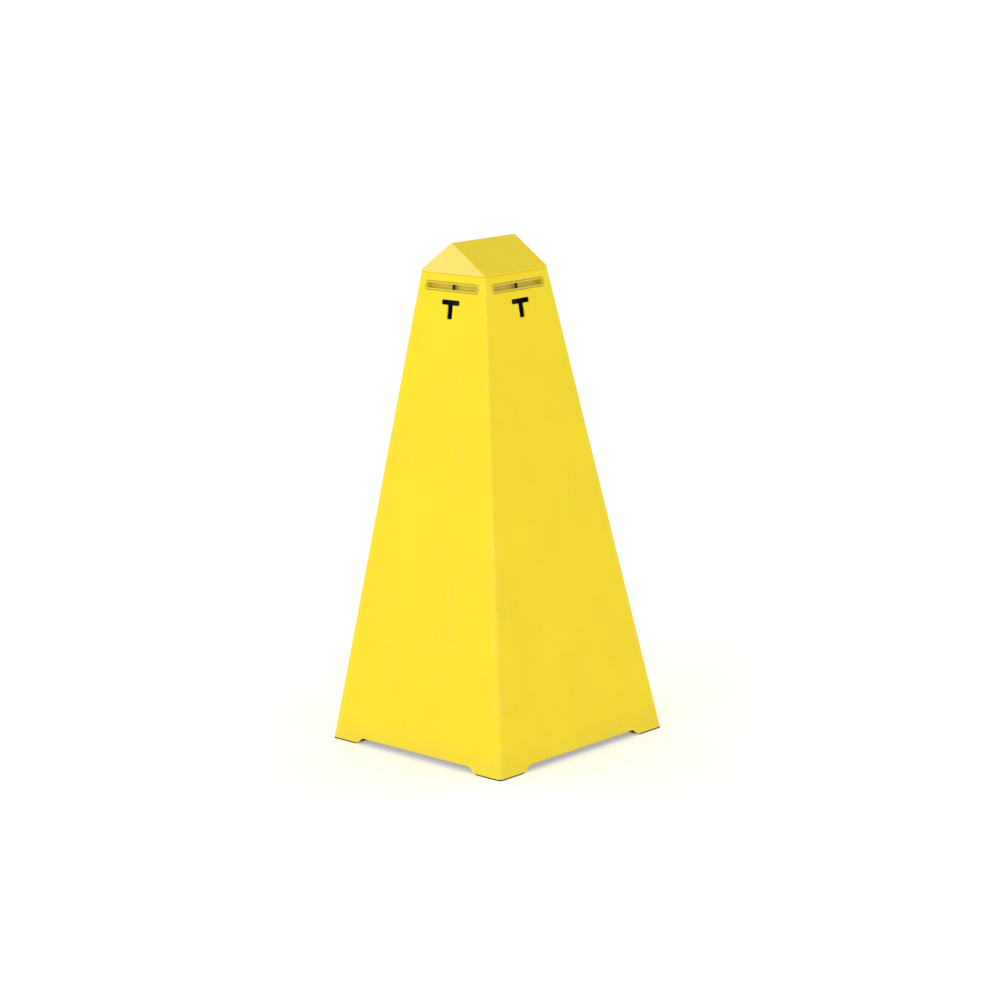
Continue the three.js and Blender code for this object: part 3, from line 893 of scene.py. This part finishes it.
def injected_polypropylene_and_painted_shade():
    """Injection-moulded polypropylene: glossier and tighter than the shell, with faint flow marks along the
    long way of the mould. Its yellow is darker and duller than the shell's: partly the insert's own tone,
    partly painted shade of the recessed pocket. The tool's texture is drawn at 1.2 mm, coarser than the real
    one, to show."""
    material, tree, shader, place = new_material("injected_polypropylene_and_painted_shade")
    flow = node(tree, "ShaderNodeMapping", {"Vector": place, "Scale": (1, 1, 6)})
    marks = node(tree, "ShaderNodeTexNoise", {
        "Vector": flow.outputs[0], "Scale": every(40 * MM), "Detail": 3})
    skin = node(tree, "ShaderNodeTexNoise", {"Vector": place, "Scale": every(1.2 * MM), "Detail": 2})
    # the insert's yellow, darker than the shell's: partly its own tone, partly painted shade of the recessed
    # pocket
    tint = node(tree, "ShaderNodeMix", {
        SHARE: marks.outputs["Fac"], FIRST: linear("#e8d43e"), SECOND: linear("#dec934")}, data_type="RGBA")
    rough = node(tree, "ShaderNodeMapRange", {"Value": marks.outputs["Fac"], TO_LOW: 0.26, TO_HIGH: 0.4})
    bump = node(tree, "ShaderNodeBump", {
        "Height": skin.outputs["Fac"], "Strength": 0.3, "Distance": 0.05 * MM})
    feed(shader, {"Base Color": tint.outputs[MIXED], "Roughness": rough.outputs[0]})
    feed(shader, {"Normal": bump.outputs[0], "IOR": 1.49})
    return material


def black_polypropylene():
    """Injection-moulded black polypropylene in a lightly textured tool: satin, with slow flow marks. The
    texture is drawn at 0.8 mm, coarser than the real one, to show."""
    material, tree, shader, place = new_material("black_polypropylene")
    marks = node(tree, "ShaderNodeTexNoise", {"Vector": place, "Scale": every(30 * MM), "Detail": 3})
    skin = node(tree, "ShaderNodeTexNoise", {"Vector": place, "Scale": every(0.8 * MM), "Detail": 2})
    tint = node(tree, "ShaderNodeMix", {
        SHARE: marks.outputs["Fac"], FIRST: linear("#171615"), SECOND: linear("#1f1d1b")}, data_type="RGBA")
    rough = node(tree, "ShaderNodeMapRange", {"Value": marks.outputs["Fac"], TO_LOW: 0.45, TO_HIGH: 0.6})
    bump = node(tree, "ShaderNodeBump", {
        "Height": skin.outputs["Fac"], "Strength": 0.4, "Distance": 0.08 * MM})
    feed(shader, {"Base Color": tint.outputs[MIXED], "Roughness": rough.outputs[0]})
    feed(shader, {"Normal": bump.outputs[0], "IOR": 1.49})
    return material


def moulded_rubber():
    """Compression-moulded black rubber: charcoal rather than black, matt, with a grey bloom in patches. Its
    matt skin is drawn with a grain of 0.9 mm, coarser than the real one, to show."""
    material, tree, shader, place = new_material("moulded_rubber")
    bloom = node(tree, "ShaderNodeTexNoise", {
        "Vector": place, "Scale": every(25 * MM), "Detail": 5, "Roughness": 0.65})
    skin = node(tree, "ShaderNodeTexNoise", {"Vector": place, "Scale": every(0.9 * MM), "Detail": 3})
    patches = node(tree, "ShaderNodeMapRange", {
        "Value": bloom.outputs["Fac"], FROM_LOW: 0.45, FROM_HIGH: 0.75})
    tint = node(tree, "ShaderNodeMix", {
        SHARE: patches.outputs[0], FIRST: linear("#1b1b1a"), SECOND: linear("#33322f")}, data_type="RGBA")
    rough = node(tree, "ShaderNodeMapRange", {"Value": bloom.outputs["Fac"], TO_LOW: 0.62, TO_HIGH: 0.85})
    bump = node(tree, "ShaderNodeBump", {
        "Height": skin.outputs["Fac"], "Strength": 0.4, "Distance": 0.12 * MM})
    feed(shader, {"Base Color": tint.outputs[MIXED], "Roughness": rough.outputs[0]})
    feed(shader, {"Normal": bump.outputs[0], "IOR": 1.52})
    return material


def crumb_rubber():
    """Tyre granules of 2 to 4 mm pressed with a binder: a dark speckled surface, each granule catching the
    light its own way, with a few lighter ones."""
    material, tree, shader, place = new_material("crumb_rubber")
    crumbs = node(tree, "ShaderNodeTexVoronoi", {
        "Vector": place, "Scale": every(3 * MM), "Randomness": 1.0})
    gaps = node(tree, "ShaderNodeTexVoronoi", {
        "Vector": place, "Scale": every(3 * MM)}, feature="DISTANCE_TO_EDGE")
    pick = node(tree, "ShaderNodeSeparateColor", {"Color": crumbs.outputs["Color"]})
    tones = node(tree, "ShaderNodeValToRGB", {"Fac": pick.outputs[0]})
    tones.color_ramp.elements[0].color = linear("#191918")
    tones.color_ramp.elements[1].color = linear("#5a5750")
    tones.color_ramp.elements.new(0.8).color = linear("#2d2c29")
    rough = node(tree, "ShaderNodeMapRange", {"Value": pick.outputs[1], TO_LOW: 0.6, TO_HIGH: 0.95})
    rounded = node(tree, "ShaderNodeMapRange", {
        "Value": gaps.outputs["Distance"], FROM_LOW: 0, FROM_HIGH: 0.25})
    bump = node(tree, "ShaderNodeBump", {
        "Height": rounded.outputs[0], "Strength": 0.7, "Distance": 0.6 * MM})
    feed(shader, {"Base Color": tones.outputs[0], "Roughness": rough.outputs[0]})
    feed(shader, {"Normal": bump.outputs[0], "IOR": 1.52})
    return material


def blackened_steel():
    """Steel bar with a black oxide finish: drawing lines along the bar, slightly brown where it's rubbed. The
    lines are drawn 0.5 mm apart, coarser than real ones, to show."""
    material, tree, shader, place = new_material("blackened_steel")
    drawn = node(tree, "ShaderNodeMapping", {"Vector": place, "Scale": (1, 1, 0.04)})
    lines = node(tree, "ShaderNodeTexNoise", {
        "Vector": drawn.outputs[0], "Scale": every(0.5 * MM), "Detail": 2})
    rubs = node(tree, "ShaderNodeTexNoise", {"Vector": place, "Scale": every(6 * MM), "Detail": 4})
    worn = node(tree, "ShaderNodeMapRange", {
        "Value": rubs.outputs["Fac"], FROM_LOW: 0.55, FROM_HIGH: 0.75})
    tint = node(tree, "ShaderNodeMix", {
        SHARE: worn.outputs[0], FIRST: linear("#2b2a29"), SECOND: linear("#4b4139")}, data_type="RGBA")
    rough = node(tree, "ShaderNodeMapRange", {"Value": lines.outputs["Fac"], TO_LOW: 0.32, TO_HIGH: 0.52})
    bump = node(tree, "ShaderNodeBump", {
        "Height": lines.outputs["Fac"], "Strength": 0.3, "Distance": 0.04 * MM})
    feed(shader, {"Base Color": tint.outputs[MIXED], "Roughness": rough.outputs[0]})
    feed(shader, {"Normal": bump.outputs[0], "Metallic": 1.0})
    return material


def zinc_plate():
    """Bright zinc plate with a clear passivate: pale grey with a slightly cloudy, bluish cast. Its fine
    unevenness is drawn at 0.4 mm, coarser than the real one, to show."""
    material, tree, shader, place = new_material("zinc_plate")
    cloud = node(tree, "ShaderNodeTexNoise", {"Vector": place, "Scale": every(5 * MM), "Detail": 4})
    skin = node(tree, "ShaderNodeTexNoise", {"Vector": place, "Scale": every(0.4 * MM), "Detail": 2})
    tint = node(tree, "ShaderNodeMix", {
        SHARE: cloud.outputs["Fac"], FIRST: linear("#c9cdd1"), SECOND: linear("#a4abb3")}, data_type="RGBA")
    rough = node(tree, "ShaderNodeMapRange", {"Value": cloud.outputs["Fac"], TO_LOW: 0.22, TO_HIGH: 0.46})
    bump = node(tree, "ShaderNodeBump", {
        "Height": skin.outputs["Fac"], "Strength": 0.2, "Distance": 0.02 * MM})
    feed(shader, {"Base Color": tint.outputs[MIXED], "Roughness": rough.outputs[0]})
    feed(shader, {"Normal": bump.outputs[0], "Metallic": 1.0})
    return material


def studio_floor():
    """Matt white board that glows a little, so that it stays white. Its paint's faint tooth is drawn at 3 mm,
    coarser than the real one."""
    material, tree, shader, place = new_material("studio_floor")
    tooth = node(tree, "ShaderNodeTexNoise", {"Vector": place, "Scale": every(3 * MM), "Detail": 2})
    rough = node(tree, "ShaderNodeMapRange", {"Value": tooth.outputs["Fac"], TO_LOW: 0.85, TO_HIGH: 1.0})
    feed(shader, {"Base Color": linear("#f4f4f3"), "Roughness": rough.outputs[0], "Specular IOR Level": 0.0})
    feed(shader, {"Emission Color": (1, 1, 1, 1), "Emission Strength": 0.31})
    return material


# ---------------------------------------------------------------- the stanchion
shell_yellow = rotomoulded_polyethylene(
    "satin_polyethylene", "#fae012", "#f0d310", satin=0.46, grain=2 * MM, grain_depth=0.25 * MM)
# The gables come from spark-eroded panels in the tool, with a deeper, rougher grain; their paler yellow is a
# painted highlight.
gable_yellow_painted_highlight = rotomoulded_polyethylene(
    "sparked_polyethylene_painted_highlight", "#f8df6e", "#edd15d", satin=0.62, grain=1.4 * MM, grain_depth=0.4 * MM)
insert_yellow_and_painted_shade = injected_polypropylene_and_painted_shade()
box_black = black_polypropylene()
black_rubber = moulded_rubber()
ballast_crumb = crumb_rubber()
pin_black = blackened_steel()
zinc = zinc_plate()

piece("tapered_shell", shell(), [shell_yellow], "stanchion", "shell")
piece("gabled_cap", roof_cap(), [shell_yellow, gable_yellow_painted_highlight], "cap", "roof_cap")
piece("crumb_ballast", ballast_ring(), [ballast_crumb], "stanchion", "ballast_ring")
for turn, wall in enumerate(("front", "right", "rear", "left")):
    for ending, make, material, node_ending, slot in (
        ("chain_pocket", pocket_insert, insert_yellow_and_painted_shade, "pocket_insert", "insert_polypropylene"),
        ("pocket_pin", hitch_pin, pin_black, "hitch_pin", "pin_steel"),
        ("chain_box", link_box, box_black, "link_box", "box_polypropylene"),
    ):
        piece(f"{wall}_{ending}", make(turn), [material], "stanchion", f"{wall}_{node_ending}")
for turn, corner in enumerate(("front_left", "front_right", "rear_right", "rear_left")):
    for ending, make, material, node_ending, slot in (
        ("rubber_foot", foot_pad, black_rubber, "foot_pad", "pad_rubber"),
        ("domed_bolt", foot_bolt, zinc, "foot_bolt", "zinc_steel"),
        ("flat_washer", foot_washer, zinc, "foot_washer", "zinc_steel"),
        ("hexagon_nut", foot_nut, zinc, "foot_nut", "zinc_steel"),
    ):
        piece(f"{corner}_{ending}", make(turn), [material], "stanchion", f"{corner}_{node_ending}")

# ---------------------------------------------------------------- studio
FLOOR_HALF, FLOOR_CORNER_R = 60, 20  # metres, so that its edge is far behind the stanchion
floor_skin = Skin()
floor_skin.fill(floor_skin.level(rounded_square(FLOOR_HALF, FLOOR_CORNER_R, 24), 0))
floor_board = new_object("studio_floor", floor_skin.mesh("studio_floor"))
floor_board.data.materials.append(studio_floor())

# White walls all round, a little dimmer overhead.
world = bpy.data.worlds.new("studio")
bpy.context.scene.world = world
world.use_nodes = True
sky = world.node_tree
outward = node(sky, "ShaderNodeTexCoord").outputs["Generated"]
upward = node(sky, "ShaderNodeSeparateXYZ", {"Vector": outward}).outputs["Z"]
glow = node(sky, "ShaderNodeMapRange", {
    "Value": upward, FROM_LOW: 0, FROM_HIGH: 1, TO_LOW: 0.97, TO_HIGH: 0.7})
feed(sky.nodes["Background"], {"Color": (1, 1, 1, 1), "Strength": glow.outputs[0]})


def softbox(name, place, aim, size, power):
    """A rectangular area light at a place, turned to aim, of a size in metres and a power in watts."""
    lamp = bpy.data.lights.new(name, "AREA")
    lamp.shape = "RECTANGLE"
    lamp.size, lamp.size_y = size
    lamp.energy = power
    made = bpy.data.objects.new(name, lamp)
    bpy.context.scene.collection.objects.link(made)
    made.location = place
    made.rotation_euler = (Vector(aim) - Vector(place)).to_track_quat("-Z", "Y").to_euler()


softbox("key_left", place=(-4.5, -0.6, 1.6), aim=(0, 0, 0.45), size=(2.6, 2.6), power=36)

# The camera stands about 5.25 m off, a little above the stanchion's middle, and is slightly rolled.
azimuth, elevation, roll = (math.radians(a) for a in (-45.70, 11.95, -1.596))
level = Vector((math.cos(azimuth), math.sin(azimuth), 0))
ahead = Vector((-math.sin(azimuth), math.cos(azimuth), 0))
back = Vector((0, 0, math.sin(elevation))) - ahead * math.cos(elevation)
rise = back.cross(level)
right = level * math.cos(roll) + rise * math.sin(roll)
up = rise * math.cos(roll) - level * math.sin(roll)
aim = Vector((0, 0, 429 * MM))
distance, aside, above = 5.2545, 16.66 * MM, 8.22 * MM
stand = aim + back * distance + level * aside + rise * above
camera_data = bpy.data.cameras.new("camera")
camera_data.sensor_width = 36
camera_data.lens = 104.3
camera = bpy.data.objects.new("camera", camera_data)
bpy.context.scene.collection.objects.link(camera)
camera.matrix_world = Matrix.Translation(stand) @ Matrix((right, up, back)).transposed().to_4x4()
bpy.context.scene.camera = camera
bpy.context.scene.view_settings.view_transform = "Standard"
